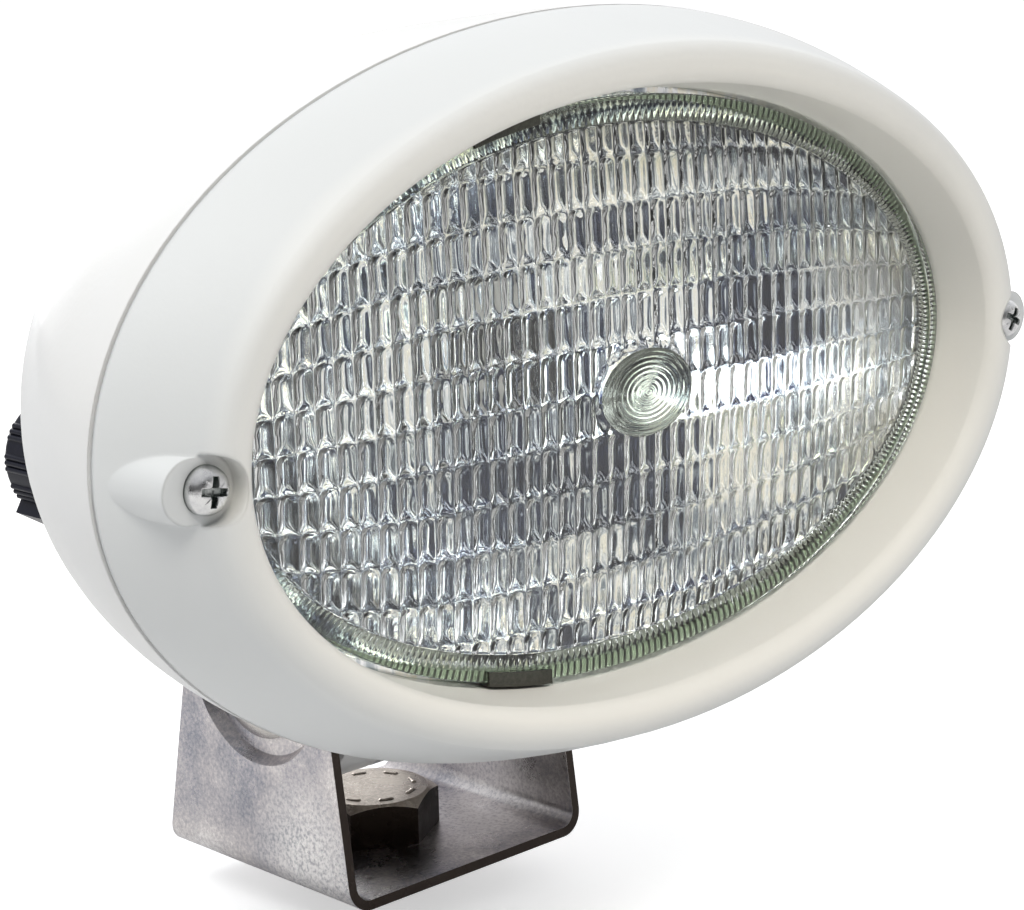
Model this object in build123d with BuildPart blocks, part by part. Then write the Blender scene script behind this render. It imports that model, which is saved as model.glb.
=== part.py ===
from build123d import *
from math import ceil, cos, radians, sin, sqrt, tan
import os

# Deck floodlight: an oval halogen lamp on a stainless U bracket that swivels on one bolt.
# Millimetres, +Z up. The lamp looks toward -Y. The mounting bolt stands on the Z axis and
# the underside of the bracket is the plane z = 0; the pivot axis runs along X a little in
# front of the bolt. "Depth" is measured along the lamp axis from the parting line between
# bezel and housing, positive to the rear.

# Clearances
running_fit = 0.05
face_gap = 0.05
slip_fit = 0.1

# Bracket, bent from one strip of sheet
sheet = 1.5
bracket_width = 49.5
bend_radius = 2.5
base_front = 23.3
base_rear = 22.2
pivot_forward = 1.8
pivot_height = 34.5
ear_radius = 16.6
dish_radius = 15.2
dish_depth = 2.0
dish_slope = 1.2

# Mounting bolt
shoulder_radius = 6.4
thread_radius = 5.9
stud_length = 6.0
stud_chamfer = 0.8
bolt_flats = 19.0
bolt_head_height = 7.1
bolt_face_radius = 9.0
bolt_bevel_deg = 30.0

# Pivot bolt, its nut, washer, sleeve and the two friction washers
pivot_radius = 4.0
dome_radius = 11.1
dome_height = 5.0
dome_rim = 1.2
pivot_washer_radius = 9.0
pivot_washer_thickness = 1.6
nut_flats = 13.0
nut_height = 6.5
nut_collar_radius = 5.6
nut_collar_height = 1.6
thread_end = 1.2
sleeve_radius = 6.0
friction_radius = 13.0
friction_thickness = 0.8

# Lamp housing: the oval at the parting line, and the bowl behind it
pivot_drop = 47.5
pivot_setback = 51.0
face_half_width = 87.4
face_half_height = 52.5
bowl_depth = 72.0
bowl_nose = 10.0
bowl_width_power = 1.45
bowl_height_power = 1.23
bowl_height_root = 0.15
bowl_stations = 7
rear_round = 6.0
wall = 2.8
lug_radius = 19.5
lug_neck = 14.0
lug_groove_offset = 9.0
lug_groove_width = 2.0
lug_groove_depth = 3.0
pocket_radius = 22.5
pocket_margin = 2.4

# Bezel: a sloping band outside, a rounded crest, and a steep wall down to the lens
crest_depth = 16.0
crest_radius = 3.0
crest_half_width = 77.2
crest_half_height = 45.3
crest_join_deg = 35.0
crest_outer_steps = (crest_join_deg, 55.0, 75.0, 90.0)
crest_inner_deg = 165.0
crest_inner_steps = (90.0, 115.0, 140.0, crest_inner_deg)
crest_flat = 0.35
band_curve = 1.33
band_stations = 5
opening_half_width = 72.85
opening_half_height = 41.2
opening_depth = 6.0
bezel_wall = 2.2
bezel_seat_depth = 1.5
parting_gap = 0.6
tongue_thickness = 1.3
tongue_rise = 5.0
tongue_reach = 0.6

# Bezel screws at the ends of the long axis, their scoops and inserts
screw_offset = 80.0
screw_seat_depth = 12.8
screw_radius = 1.5
screw_length = 20.0
screw_head_radius = 3.05
screw_head_height = 2.3
screw_head_round = 1.1
scoop_radius = 4.3
boss_foot_radius = 4.7
boss_taper_deg = 3.0
boss_stretch = 2.0
insert_radius = 2.6
insert_length = 7.5
insert_sink = 0.3
insert_boss_radius = 4.5
insert_boss_length = 10.5

# Optical unit: fluted lens, its seal and clips, and the reflector
lens_clearance = 0.85
lens_thickness = 3.5
lens_rim_width = 5.8
lens_dome = 3.0
dome_rises = (0.0, 0.35, 0.7, 0.92)
flute_pitch = 3.83
flute_depth = 0.7
lens_back_rise = 1.0
patch_half_width = 9.2
patch_half_height = 6.2
patch_rings = 4
ring_height = 0.4
ring_width = 0.6
seal_thickness = 0.5
clip_x = -23.0
clip_width = 12.0
clip_thickness = 0.45
clip_lip = 1.6
mouth_inset = 1.5
reflector_wall = 1.3
reflector_depth = 38.0
reflector_nose = 6.0
reflector_stations = 5
flange_thickness = 1.2
gasket_thickness = 0.6
ledge_thickness = 2.0
ledge_clearance = 0.6

# Halogen bulb behind the reflector
bulb_hole_radius = 8.0
bulb_radius = 5.2
bulb_length = 20.0
bulb_tip_round = 4.7
bulb_plate_radius = 9.4
bulb_plate_thickness = 1.5
bulb_body_radius = 6.5
bulb_body_length = 8.0
clip_wire_radius = 0.6
clip_wire_gap = 0.5
clip_wire_reach = 11.0

# Terminal block inside the rear wall
terminal_width = 16.0
terminal_height = 9.0
terminal_depth = 10.0
terminal_x = 12.0
terminal_z = 14.0
terminal_round = 1.0
terminal_screw_radius = 1.9
terminal_screw_height = 1.0
terminal_screw_pitch = 8.0

# Cable gland on the rear of the bowl
gland_x = -34.3
gland_z = -16.6
gland_boss_radius = 10.2
gland_stand = 4.0
gland_boss_length = 15.0
gland_thread_radius = 6.9
gland_thread_length = 7.2
gland_bore_radius = 3.6
gland_collar_radius = 9.0
gland_collar_thickness = 1.5
gland_ring_thickness = 0.8
gland_spigot_length = 6.0
seal_pocket_radius = 5.2
seal_pocket_depth = 4.5
cable_seal_radius = 3.5
clamp_ring_thickness = 0.8
gland_end_wall = 1.6
gland_seal_stand = 0.8
gland_nut_radius = 9.5
gland_nut_round = 1.4
gland_nut_mouth = 4.3
grip_groups = 12
grip_pitch_deg = 6.0
grip_rib_radius = 0.45
grip_lobe_radius = 11.3
grip_lobe_width = 6.5
grip_lobe_angle = 240.0

# Places that follow from the sizes above
lamp_height = pivot_height + pivot_drop
half_bracket = bracket_width / 2
ear_inside = half_bracket - sheet
dish_seat = half_bracket - dish_depth
dish_face = dish_seat - sheet
bolt_reach = bolt_flats / sqrt(3) + face_gap
bolt_bevel_drop = (bolt_reach - bolt_face_radius) * tan(radians(bolt_bevel_deg))
lug_half_width = dish_face - friction_thickness - face_gap
washer_face = dish_seat + pivot_washer_thickness
nut_face = washer_face + nut_height
pivot_end = nut_face + nut_collar_height + thread_end
pocket_half_width = pivot_end + pocket_margin
foot_half_width = pocket_half_width + wall
foot_radius = pocket_radius + wall
gland_seat_depth = bowl_depth + gland_stand
socket_front = gland_seat_depth - gland_boss_length
band_end = crest_depth - crest_radius + crest_radius * sin(radians(crest_join_deg))
lens_half_width = opening_half_width - lens_clearance
lens_half_height = opening_half_height - lens_clearance
lens_back_depth = opening_depth - lens_thickness
lens_hollow = lens_back_depth + lens_back_rise
dome_top = opening_depth + lens_dome * dome_rises[-1]
field_half_width = lens_half_width - lens_rim_width
field_half_height = lens_half_height - lens_rim_width
mouth_depth = lens_back_depth - seal_thickness
mouth_half_width = lens_half_width - mouth_inset
mouth_half_height = lens_half_height - mouth_inset
flange_outer = (opening_half_width + bezel_wall, opening_half_height + bezel_wall)
rim_outer = (mouth_half_width + reflector_wall, mouth_half_height + reflector_wall)
ledge_hole = (rim_outer[0] + ledge_clearance, rim_outer[1] + ledge_clearance)
flange_front = gasket_thickness - bezel_seat_depth
flange_back = flange_front + flange_thickness
ledge_front = flange_back + gasket_thickness
bulb_plate_back = reflector_depth + bulb_plate_thickness
collar_front = gland_seat_depth + gland_ring_thickness
collar_back = collar_front + gland_collar_thickness
spigot_end = collar_back + gland_spigot_length
seal_floor = spigot_end - seal_pocket_depth
seal_end = spigot_end + gland_seal_stand
clamp_end = seal_end + clamp_ring_thickness
gland_nut_end = clamp_end + gland_end_wall
pivot_axis = Axis((0, -pivot_forward, pivot_height), (1, 0, 0))
pivot_plane = Plane(pivot_axis.position, x_dir=(1, 0, 0), z_dir=(0, -1, 0))


def side_plane(x):
    """Plane across the pivot axis at a value of x, its origin on the axis."""
    return Plane((x, -pivot_forward, pivot_height), x_dir=(0, 1, 0), z_dir=(1, 0, 0))


def lamp_plane(depth):
    """Plane across the lamp at a depth; its normal points to the front."""
    place = (0, depth - pivot_setback - pivot_forward, lamp_height)
    return Plane(place, x_dir=(1, 0, 0), z_dir=(0, -1, 0))


def oval(depth, half_width, half_height):
    """Oval section on the lamp axis."""
    with BuildSketch(lamp_plane(depth)) as outline:
        Ellipse(half_width, half_height)
    return outline.sketch


def oval_plate(front, back, half_width, half_height, mode=Mode.ADD):
    """Flat oval block between two depths."""
    extrude(oval(back, half_width, half_height), amount=back - front, mode=mode)


def oval_ring(front, back, outer, inner, mode=Mode.ADD):
    """Flat oval ring between two depths; outer and inner are half width and half height."""
    with BuildSketch(lamp_plane(back)) as outline:
        Ellipse(*outer)
        Ellipse(*inner, mode=Mode.SUBTRACT)
    extrude(outline.sketch, amount=back - front, mode=mode)


def post(x, z, radius, front, back, mode=Mode.ADD):
    """Round post along the lamp axis, at x and z from that axis, between two depths."""
    with BuildSketch(lamp_plane(back)) as outline:
        with Locations((x, z)):
            Circle(radius)
    extrude(outline.sketch, amount=back - front, mode=mode)


def gland_post(radius, front, back, mode=Mode.ADD):
    """Round post on the axis of the cable gland."""
    post(gland_x, gland_z, radius, front, back, mode)


def drum(radius, x_from, x_to, mode=Mode.ADD):
    """Round drum on the pivot axis between two values of x."""
    with BuildSketch(side_plane(x_from)) as outline:
        Circle(radius)
    extrude(outline.sketch, amount=x_to - x_from, mode=mode)


def turned_on_pivot(points, mode=Mode.ADD):
    """Turned shape about the pivot axis from (x, radius) corners."""
    with BuildSketch(pivot_plane) as profile:
        Polygon(*points, align=None)
    revolve(profile.sketch, axis=pivot_axis, mode=mode)


def bowl(depth, inset=0.0):
    """Section of the housing bowl, drawn in by inset for its inside."""
    share = depth / (bowl_depth + bowl_nose)
    half_width = face_half_width * sqrt(1 - share ** bowl_width_power)
    half_height = face_half_height * (1 - share ** bowl_height_power) ** bowl_height_root
    return oval(depth, half_width - inset, half_height - inset)


def bowl_block(depth, inset=0.0):
    """Solid bowl from the parting line to a depth."""
    loft([bowl(depth * k / (bowl_stations - 1), inset) for k in range(bowl_stations)])


def band(depth, inset=0.0):
    """Section of the sloping outer band of the bezel, depth counted to the front."""
    fall = (depth / band_end) ** band_curve
    join = crest_radius * cos(radians(crest_join_deg))
    half_width = face_half_width + (crest_half_width + join - face_half_width) * fall
    half_height = face_half_height + (crest_half_height + join - face_half_height) * fall
    return oval(-depth, half_width - inset, half_height - inset)


def band_block(depth, inset=0.0):
    """Solid under the sloping band from the parting line to a depth in front of it."""
    loft([band(depth * k / (band_stations - 1), inset) for k in range(band_stations)])


def crest(angle, spread=0.0):
    """Section of the rounded crest: 90 degrees is its foremost ring, more is its inner side."""
    reach = crest_radius * cos(radians(angle)) + spread
    depth = crest_depth - crest_radius + crest_radius * sin(radians(angle))
    return oval(-depth, crest_half_width + reach, crest_half_height + reach)


def dome_section(rise):
    """Section of the lens dome at a share of its rise."""
    share = sqrt(1 - rise ** 2)
    return oval(
        -opening_depth - lens_dome * rise, field_half_width * share, field_half_height * share
    )


def mirror_section(depth, spread=0.0):
    """Section of the reflector, an oval paraboloid; spread gives its outside."""
    reach = mouth_depth + reflector_depth + reflector_nose
    scale_here = sqrt(1 - (depth + mouth_depth) / reach)
    return oval(
        depth, mouth_half_width * scale_here + spread, mouth_half_height * scale_here + spread
    )


def mirror_block(end_depth, spread=0.0, mode=Mode.ADD):
    """Solid of the reflector's form from its mouth to a depth."""
    span = (mouth_depth + end_depth) / (reflector_stations - 1)
    loft(
        [mirror_section(span * k - mouth_depth, spread) for k in range(reflector_stations)],
        mode=mode,
    )


# U bracket with tapered, round-topped ears and a pressed dish round each pivot hole
with BuildPart() as mounting_bracket:
    with BuildSketch(Plane.XZ.offset(-base_rear)):
        Rectangle(bracket_width, pivot_height + ear_radius, align=(Align.CENTER, Align.MIN))
        fillet(vertices().group_by(Axis.Y)[0], bend_radius + sheet)
        with BuildSketch(mode=Mode.PRIVATE) as channel:
            with Locations((0, sheet)):
                Rectangle(
                    2 * ear_inside,
                    pivot_height + ear_radius,
                    align=(Align.CENTER, Align.MIN),
                )
            fillet(vertices().group_by(Axis.Y)[0], bend_radius)
        add(channel.sketch, mode=Mode.SUBTRACT)
    extrude(amount=base_front + base_rear)
    with BuildSketch(Plane.YZ.offset(-half_bracket)):
        with BuildLine():
            CenterArc((-pivot_forward, pivot_height), ear_radius, 0, 360)
            Line((-base_front, 0), (base_rear, 0))
        make_hull()
    extrude(amount=bracket_width, mode=Mode.INTERSECT)
    for side in (-1, 1):
        turned_on_pivot(
            [
                (side * ear_inside, 0),
                (side * ear_inside, dish_radius),
                (side * dish_face, dish_radius - dish_slope),
                (side * dish_face, 0),
            ]
        )
        turned_on_pivot(
            [
                (side * half_bracket, 0),
                (side * half_bracket, dish_radius),
                (side * dish_seat, dish_radius - dish_slope),
                (side * dish_seat, 0),
            ],
            Mode.SUBTRACT,
        )
    with BuildSketch(side_plane(-dish_seat)):
        Rectangle(2 * (pivot_radius + running_fit), 2 * (pivot_radius + running_fit))
    extrude(amount=sheet, mode=Mode.SUBTRACT)
    drum(pivot_radius + running_fit, dish_face, dish_seat, Mode.SUBTRACT)
    with Locations((0, 0, sheet)):
        Hole(shoulder_radius + running_fit, depth=sheet)

# Hexagon bolt that clamps the bracket to the deck
with BuildPart() as mounting_bolt:
    with BuildSketch(Plane.XY.offset(sheet)):
        RegularPolygon(bolt_flats / 2, 6, major_radius=False, rotation=30)
    extrude(amount=bolt_head_height)
    with BuildSketch(Plane.XZ):
        Polygon(
            (0, sheet),
            (bolt_reach, sheet),
            (bolt_reach, sheet + bolt_head_height - bolt_bevel_drop),
            (bolt_face_radius, sheet + bolt_head_height),
            (0, sheet + bolt_head_height),
            align=None,
        )
    revolve(axis=Axis.Z, mode=Mode.INTERSECT)
    with BuildSketch(Plane.XY.offset(sheet)):
        Circle(shoulder_radius)
    extrude(amount=-sheet)
    with BuildSketch(Plane.XY):
        Circle(thread_radius)
    extrude(amount=-stud_length)
    chamfer(edges().group_by(Axis.Z)[0], stud_chamfer)

# Cup-head pivot bolt with a square neck in the left ear
with BuildPart() as pivot_bolt:
    dome_rise = dome_height - dome_rim
    with BuildSketch(pivot_plane):
        with BuildLine():
            seat = Line((-dish_seat, 0), (-dish_seat, dome_radius))
            rim = Line(seat @ 1, (-dish_seat - dome_rim, dome_radius))
            top = (-dish_seat - dome_height, 0)
            RadiusArc(rim @ 1, top, -(dome_radius ** 2 + dome_rise ** 2) / (2 * dome_rise))
            Line(top, seat @ 0)
        make_face()
    revolve(axis=pivot_axis)
    with BuildSketch(side_plane(-dish_seat)):
        Rectangle(2 * pivot_radius, 2 * pivot_radius)
    extrude(amount=sheet)
    drum(pivot_radius, -dish_seat, pivot_end)
    chamfer(edges().group_by(Axis.X)[-1], thread_end / 2)

# Washer under the pivot nut
with BuildPart() as pivot_washer:
    drum(pivot_washer_radius, dish_seat, washer_face)
    drum(pivot_radius + slip_fit, dish_seat, washer_face, Mode.SUBTRACT)

# Locking nut on the pivot bolt, with its round collar
with BuildPart() as pivot_nut:
    with BuildSketch(side_plane(washer_face)):
        RegularPolygon(nut_flats / 2, 6, major_radius=False)
    extrude(amount=nut_height)
    drum(nut_collar_radius, nut_face, nut_face + nut_collar_height)
    chamfer(edges().filter_by(GeomType.CIRCLE).group_by(Axis.X)[-1], nut_collar_height / 3)
    drum(
        pivot_radius + running_fit, washer_face, nut_face + nut_collar_height, Mode.SUBTRACT
    )

# Friction washers between the lug and the ears
with BuildPart() as tilt_washers:
    for x_from in (-dish_face, dish_face - friction_thickness):
        drum(friction_radius, x_from, x_from + friction_thickness)
        drum(pivot_radius + slip_fit, x_from, x_from + friction_thickness, Mode.SUBTRACT)

# Steel sleeve pressed into the lug, turning on the pivot bolt
with BuildPart() as pivot_sleeve:
    drum(sleeve_radius, -lug_half_width, lug_half_width)
    drum(pivot_radius + running_fit, -lug_half_width, lug_half_width, Mode.SUBTRACT)

# Inside of the housing: the bowl drawn in by its wall, less the ledge and the insert bosses
with BuildPart() as housing_hollow:
    bowl_block(bowl_depth - wall, wall)
    oval_ring(
        ledge_front,
        ledge_front + ledge_thickness,
        (face_half_width, face_half_height),
        ledge_hole,
        Mode.SUBTRACT,
    )
    for side in (-1, 1):
        post(
            side * screw_offset, 0, insert_boss_radius, 0, insert_boss_length, Mode.SUBTRACT
        )

# Bowl-shaped rear housing, open below for the pivot foot and behind for the gland socket
with BuildPart() as rear_housing:
    bowl_block(bowl_depth)
    fillet(edges().sort_by(Axis.Y)[-1], rear_round)
    add(housing_hollow.part, mode=Mode.SUBTRACT)
    drum(foot_radius, -foot_half_width, foot_half_width, Mode.SUBTRACT)
    gland_post(gland_boss_radius, socket_front, gland_seat_depth, Mode.SUBTRACT)
    for side in (-1, 1):
        post(
            side * screw_offset, 0, insert_radius, 0, insert_sink + insert_length, Mode.SUBTRACT
        )

# Pivot foot let into the housing: a grooved lug between two round pockets for the ears
with BuildPart() as pivot_foot:
    bowl_block(bowl_depth)
    fillet(edges().sort_by(Axis.Y)[-1], rear_round)
    drum(foot_radius, -foot_half_width, foot_half_width, Mode.INTERSECT)
    drum(lug_radius, -lug_half_width, lug_half_width)
    with BuildSketch(side_plane(-lug_half_width)):
        Rectangle(2 * lug_radius, lug_neck, align=(Align.CENTER, Align.MIN))
    extrude(amount=2 * lug_half_width)
    drum(pocket_radius, -pocket_half_width, -lug_half_width, Mode.SUBTRACT)
    drum(pocket_radius, lug_half_width, pocket_half_width, Mode.SUBTRACT)
    gland_post(gland_boss_radius, socket_front, gland_seat_depth, Mode.SUBTRACT)
    for side in (-1, 1):
        with BuildSketch(side_plane(side * lug_groove_offset - lug_groove_width / 2)):
            Circle(lug_radius + lug_groove_depth)
            Circle(lug_radius - lug_groove_depth, mode=Mode.SUBTRACT)
            Rectangle(
                3 * lug_radius,
                3 * lug_radius,
                align=(Align.CENTER, Align.MIN),
                mode=Mode.SUBTRACT,
            )
        extrude(amount=lug_groove_width, mode=Mode.SUBTRACT)
    drum(sleeve_radius, -lug_half_width, lug_half_width, Mode.SUBTRACT)

# Socket for the cable gland, let into the rear corner of the bowl
with BuildPart() as gland_socket:
    gland_post(gland_boss_radius, socket_front, gland_seat_depth)
    gland_post(
        gland_thread_radius,
        gland_seat_depth - gland_thread_length,
        gland_seat_depth,
        Mode.SUBTRACT,
    )
    gland_post(gland_bore_radius, socket_front, gland_seat_depth, Mode.SUBTRACT)

# Hollow behind the bezel's crest, between its outer band and its inner wall
with BuildPart() as bezel_hollow:
    band_block(crest_depth - bezel_wall, bezel_wall)
    oval_plate(
        -opening_depth,
        0,
        opening_half_width + bezel_wall,
        opening_half_height + bezel_wall,
        Mode.SUBTRACT,
    )
    wall_back = oval(
        -opening_depth, opening_half_width + bezel_wall, opening_half_height + bezel_wall
    )
    loft([wall_back, crest(crest_inner_deg, bezel_wall)], mode=Mode.SUBTRACT)
    oval_plate(
        -crest_depth,
        -crest_depth + crest_radius * (1 - sin(radians(crest_inner_deg))),
        crest_half_width,
        crest_half_height,
        Mode.SUBTRACT,
    )
    for side in (-1, 1):
        post(
            side * screw_offset, 0, scoop_radius + bezel_wall, -crest_depth, 0, Mode.SUBTRACT
        )

# Front bezel
with BuildPart() as front_bezel:
    band_block(band_end)
    loft([crest(angle) for angle in crest_outer_steps])
    loft(
        [crest(angle, -crest_flat) for angle in crest_inner_steps],
        mode=Mode.SUBTRACT,
    )
    opening = oval(-opening_depth, opening_half_width, opening_half_height)
    loft([crest(crest_inner_deg, -crest_flat), opening], mode=Mode.SUBTRACT)
    oval_plate(-opening_depth, 0, opening_half_width, opening_half_height, Mode.SUBTRACT)
    add(bezel_hollow.part, mode=Mode.SUBTRACT)
    oval_plate(
        -bezel_seat_depth,
        0,
        opening_half_width + 2 * bezel_wall,
        opening_half_height + 2 * bezel_wall,
        Mode.SUBTRACT,
    )
    oval_ring(
        -tongue_rise,
        tongue_reach,
        (face_half_width - wall - slip_fit, face_half_height - wall - slip_fit),
        (
            face_half_width - wall - slip_fit - tongue_thickness,
            face_half_height - wall - slip_fit - tongue_thickness,
        ),
    )
    oval_ring(
        -parting_gap,
        0,
        (face_half_width + wall, face_half_height + wall),
        (face_half_width - wall, face_half_height - wall),
        Mode.SUBTRACT,
    )
    for side in (-1, 1):
        with BuildSketch(lamp_plane(0)):
            with Locations((side * (screw_offset + boss_stretch / 2), 0)):
                SlotCenterToCenter(boss_stretch, 2 * boss_foot_radius)
        extrude(amount=screw_seat_depth, taper=boss_taper_deg)
        post(
            side * screw_offset,
            0,
            insert_boss_radius + slip_fit,
            0,
            tongue_reach,
            Mode.SUBTRACT,
        )
        post(
            side * screw_offset,
            0,
            scoop_radius,
            -crest_depth - crest_radius,
            -screw_seat_depth,
            Mode.SUBTRACT,
        )
        post(
            side * screw_offset, 0, screw_radius + slip_fit, -screw_seat_depth, 0, Mode.SUBTRACT
        )

# Pan-head screws that hold the bezel
with BuildPart() as bezel_screws:
    for side in (-1, 1):
        post(
            side * screw_offset,
            0,
            screw_head_radius,
            -screw_seat_depth - screw_head_height,
            -screw_seat_depth,
        )
    fillet(edges().group_by(Axis.Y)[0], screw_head_round)
    for side in (-1, 1):
        post(
            side * screw_offset,
            0,
            screw_radius,
            -screw_seat_depth,
            screw_length - screw_seat_depth,
        )

# Brass inserts in the housing for the bezel screws
with BuildPart() as insert_nuts:
    for side in (-1, 1):
        insert_span = (insert_sink, insert_sink + insert_length)
        post(side * screw_offset, 0, insert_radius, *insert_span)
        post(side * screw_offset, 0, screw_radius, *insert_span, Mode.SUBTRACT)

# Rods that press the vertical flutes into the back of the lens, kept inside its rim
with BuildPart() as flute_rods:
    flute_radius = (flute_pitch ** 2 / 4 + flute_depth ** 2) / (2 * flute_depth)
    rod_depth = flute_radius - flute_depth - lens_hollow
    rod_y = rod_depth - pivot_setback - pivot_forward
    flute_count = ceil(2 * field_half_width / flute_pitch)
    with BuildSketch(Plane.XY.offset(lamp_height - field_half_height)):
        with Locations((0, rod_y)):
            with GridLocations(flute_pitch, 1, flute_count, 1):
                Circle(flute_radius)
    extrude(amount=2 * field_half_height)
    oval_plate(
        -lens_hollow - 2 * flute_depth,
        -lens_back_depth,
        field_half_width,
        field_half_height,
        Mode.INTERSECT,
    )

# Glass lens: domed front with a patch of oval rings in the middle, and a fluted back
with BuildPart() as lens:
    oval_plate(-opening_depth, -lens_back_depth, lens_half_width, lens_half_height)
    loft([dome_section(rise) for rise in dome_rises])
    oval_plate(
        -lens_hollow, -lens_back_depth, field_half_width, field_half_height, Mode.SUBTRACT
    )
    add(flute_rods.part, mode=Mode.SUBTRACT)
    for ring in range(patch_rings):
        ring_share = (ring + 1) / patch_rings
        ring_outer = (patch_half_width * ring_share, patch_half_height * ring_share)
        ring_inner = (ring_outer[0] - ring_width, ring_outer[1] - ring_width)
        oval_ring(-dome_top - ring_height, -dome_top, ring_outer, ring_inner)

# Soft seal between the lens and the reflector's rim
with BuildPart() as lens_seal:
    oval_ring(
        -lens_back_depth, -mouth_depth, rim_outer, (mouth_half_width, mouth_half_height)
    )

# Spring-steel clips over the lens rim: one above, one below, one at the left end
with BuildPart() as lens_clips:
    clip_outer = (lens_half_width + clip_thickness, lens_half_height + clip_thickness)
    oval_ring(
        -opening_depth - clip_thickness,
        flange_front,
        clip_outer,
        (lens_half_width, lens_half_height),
    )
    oval_ring(
        -opening_depth - clip_thickness,
        -opening_depth,
        clip_outer,
        (lens_half_width - clip_lip, lens_half_height - clip_lip),
    )
    with BuildSketch(lamp_plane(0)):
        with Locations((clip_x, 0)):
            Rectangle(clip_width, 3 * face_half_height)
        with Locations((clip_x, 0)):
            Rectangle(face_half_width, clip_width, align=(Align.MAX, Align.CENTER))
    extrude(amount=crest_depth, mode=Mode.INTERSECT)

# Reflector with its mounting flange
with BuildPart() as reflector:
    mirror_block(reflector_depth, reflector_wall)
    oval_plate(flange_front, flange_back, *flange_outer)
    mirror_block(reflector_depth - reflector_wall, 0, Mode.SUBTRACT)
    post(
        0, 0, bulb_hole_radius, reflector_depth - reflector_wall, reflector_depth, Mode.SUBTRACT
    )

# Gaskets in front of and behind the reflector flange
with BuildPart() as bezel_gasket:
    oval_ring(
        -bezel_seat_depth, flange_front, flange_outer, (opening_half_width, opening_half_height)
    )

with BuildPart() as reflector_gasket:
    oval_ring(flange_back, ledge_front, flange_outer, ledge_hole)

# Halogen capsule
with BuildPart() as bulb_capsule:
    post(0, 0, bulb_radius, reflector_depth - bulb_length, reflector_depth)
    fillet(edges().group_by(Axis.Y)[0], bulb_tip_round)

# Bulb base: the plate against the back of the reflector and the body behind it
with BuildPart() as bulb_base:
    post(0, 0, bulb_plate_radius, reflector_depth, bulb_plate_back)
    post(0, 0, bulb_body_radius, bulb_plate_back, bulb_plate_back + bulb_body_length)

# Sprung wire loop that presses the bulb plate home
with BuildPart() as bulb_clip:
    wire_half_span = bulb_body_radius + clip_wire_gap + clip_wire_radius
    wire_plane = lamp_plane(bulb_plate_back + clip_wire_radius)
    with BuildLine(wire_plane) as wire_path:
        left_leg = Line((-wire_half_span, -clip_wire_reach), (-wire_half_span, 0))
        over = RadiusArc(left_leg @ 1, (wire_half_span, 0), wire_half_span)
        Line(over @ 1, (wire_half_span, -clip_wire_reach))
    wire_start = Plane(origin=wire_path.line @ 0, z_dir=wire_path.line % 0)
    with BuildSketch(wire_start):
        Circle(clip_wire_radius)
    sweep()

# Terminal block on the inside of the rear wall, and its two screws
block_front = bowl_depth - wall - terminal_depth
with BuildPart() as terminal_block:
    with BuildSketch(lamp_plane(block_front + terminal_depth)):
        with Locations((terminal_x, terminal_z)):
            RectangleRounded(terminal_width, terminal_height, terminal_round)
    extrude(amount=terminal_depth)

with BuildPart() as terminal_screws:
    for side in (-1, 1):
        post(
            terminal_x + side * terminal_screw_pitch / 2,
            terminal_z,
            terminal_screw_radius,
            block_front - terminal_screw_height,
            block_front,
        )

# Sealing ring under the gland's collar
with BuildPart() as gland_ring:
    gland_post(gland_collar_radius, gland_seat_depth, collar_front)
    gland_post(gland_thread_radius, gland_seat_depth, collar_front, Mode.SUBTRACT)

# Gland body screwed into the socket
with BuildPart() as gland_body:
    gland_post(gland_thread_radius, gland_seat_depth - gland_thread_length, spigot_end)
    gland_post(gland_collar_radius, collar_front, collar_back)
    gland_post(seal_pocket_radius, seal_floor, spigot_end, Mode.SUBTRACT)
    gland_post(
        gland_bore_radius, gland_seat_depth - gland_thread_length, spigot_end, Mode.SUBTRACT
    )

# Rubber cable seal in the gland body
with BuildPart() as cable_seal:
    gland_post(seal_pocket_radius, seal_floor, seal_end)
    gland_post(cable_seal_radius, seal_floor, seal_end, Mode.SUBTRACT)

# Clamp ring between the cable seal and the nut
with BuildPart() as clamp_ring:
    gland_post(gland_thread_radius, seal_end, clamp_end)
    gland_post(gland_nut_mouth, seal_end, clamp_end, Mode.SUBTRACT)

# Ribbed gland nut with two grip lobes
with BuildPart() as gland_nut:
    nut_front = collar_back + face_gap
    gland_post(gland_nut_radius, nut_front, gland_nut_end)
    fillet(edges().group_by(Axis.Y)[-1], gland_nut_round)
    with BuildSketch(lamp_plane(gland_nut_end - gland_nut_round)):
        with Locations(Location((gland_x, gland_z), grip_lobe_angle)):
            Rectangle(2 * grip_lobe_radius, grip_lobe_width)
        with Locations((gland_x, gland_z)):
            for turn in (-grip_pitch_deg, 0, grip_pitch_deg):
                with PolarLocations(gland_nut_radius, grip_groups, turn):
                    Circle(grip_rib_radius)
    extrude(amount=gland_nut_end - gland_nut_round - nut_front)
    gland_post(
        gland_thread_radius + running_fit,
        nut_front,
        gland_nut_end - gland_end_wall,
        Mode.SUBTRACT,
    )
    gland_post(gland_nut_mouth, nut_front, gland_nut_end, Mode.SUBTRACT)

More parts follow.
